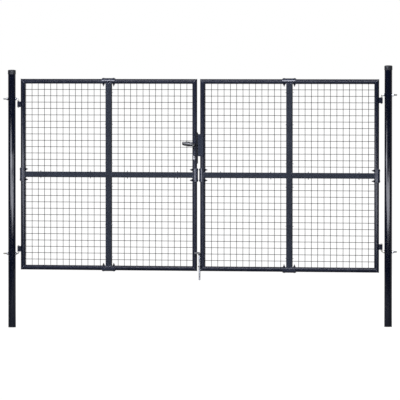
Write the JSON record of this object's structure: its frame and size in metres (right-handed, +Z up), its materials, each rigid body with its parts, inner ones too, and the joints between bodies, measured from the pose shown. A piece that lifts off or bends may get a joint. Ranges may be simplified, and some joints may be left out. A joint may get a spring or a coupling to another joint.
{
  "type": "mesh garden gate",
  "caption": "Double-leaf garden gate of dark powder-coated steel tube and welded wire mesh between two round posts, with lever lock and drop rod",
  "frame": {"origin": "centre of the left post's foot face", "axes": "x to the right along the gate seen from the front, y from the front (lever and drop rod handle) to the back, z up"},
  "size_m": [3.134, 0.138, 2.0652],
  "materials": {
    "powder_coat": "blue-black powder coat, semi-gloss",
    "zinc_plate": "bright zinc plate",
    "satin_nickel": "satin nickel plate",
    "black_plastic": "black moulded plastic"
  },
  "bodies": {
    "posts": {"left_post": "powder_coat", "right_post": "powder_coat", "left_post_cap": "black_plastic", "right_post_cap": "black_plastic", "left_post_foot": "black_plastic", "right_post_foot": "black_plastic", "left_lower_hinge_hook": "zinc_plate", "right_lower_hinge_hook": "zinc_plate", "left_upper_hinge_hook": "zinc_plate", "right_upper_hinge_hook": "zinc_plate", "left_hinge_nuts": "zinc_plate", "right_hinge_nuts": "zinc_plate"},
    "left_leaf": {"left_hinge_stile": "powder_coat", "left_top_rail": "powder_coat", "left_bottom_rail": "powder_coat", "left_divider": "powder_coat", "left_middle_rail": "powder_coat", "left_frame_saddles": "powder_coat", "left_hinge_barrels": "powder_coat", "left_upper_hinge_side_mesh": "powder_coat", "left_upper_meeting_side_mesh": "powder_coat", "left_lower_hinge_side_mesh": "powder_coat", "left_lower_meeting_side_mesh": "powder_coat", "left_lock_stile": "powder_coat", "lock_case": "powder_coat", "lock_bolts": "satin_nickel", "lock_cylinder": "satin_nickel"},
    "right_leaf": {"right_hinge_stile": "powder_coat", "right_top_rail": "powder_coat", "right_bottom_rail": "powder_coat", "right_divider": "powder_coat", "right_middle_rail": "powder_coat", "right_frame_saddles": "powder_coat", "right_hinge_barrels": "powder_coat", "right_upper_hinge_side_mesh": "powder_coat", "right_upper_meeting_side_mesh": "powder_coat", "right_lower_hinge_side_mesh": "powder_coat", "right_lower_meeting_side_mesh": "powder_coat", "right_meeting_stile": "powder_coat", "lock_keeper": "powder_coat", "drop_rod_guides": "powder_coat"},
    "lever": {"front_lever": "black_plastic", "back_lever": "black_plastic", "lever_spindle": "zinc_plate"},
    "drop_rod": {"drop_rod": "zinc_plate"}
  },
  "joints": [
    {"name": "left_leaf_hinge", "type": "hinge", "parent": "posts", "child": "left_leaf", "pos_m": [0.053, 0, 1.2063], "axis": [0, 0, 1], "range_deg": [0, 90]},
    {"name": "right_leaf_hinge", "type": "hinge", "parent": "posts", "child": "right_leaf", "pos_m": [2.945, 0, 1.2063], "axis": [0, 0, 1], "range_deg": [0, 90]},
    {"name": "lever_turn", "type": "hinge", "parent": "left_leaf", "child": "lever", "pos_m": [1.468, 0, 1.4423], "axis": [0, -1, 0], "range_deg": [0, 40], "stiffness_Nm_per_rad": 1.2, "springref_deg": -22.92},
    {"name": "drop_rod_slide", "type": "slide", "parent": "right_leaf", "child": "drop_rod", "axis": [0, 0, 1], "range_m": [0, 0.09]}
  ]
}
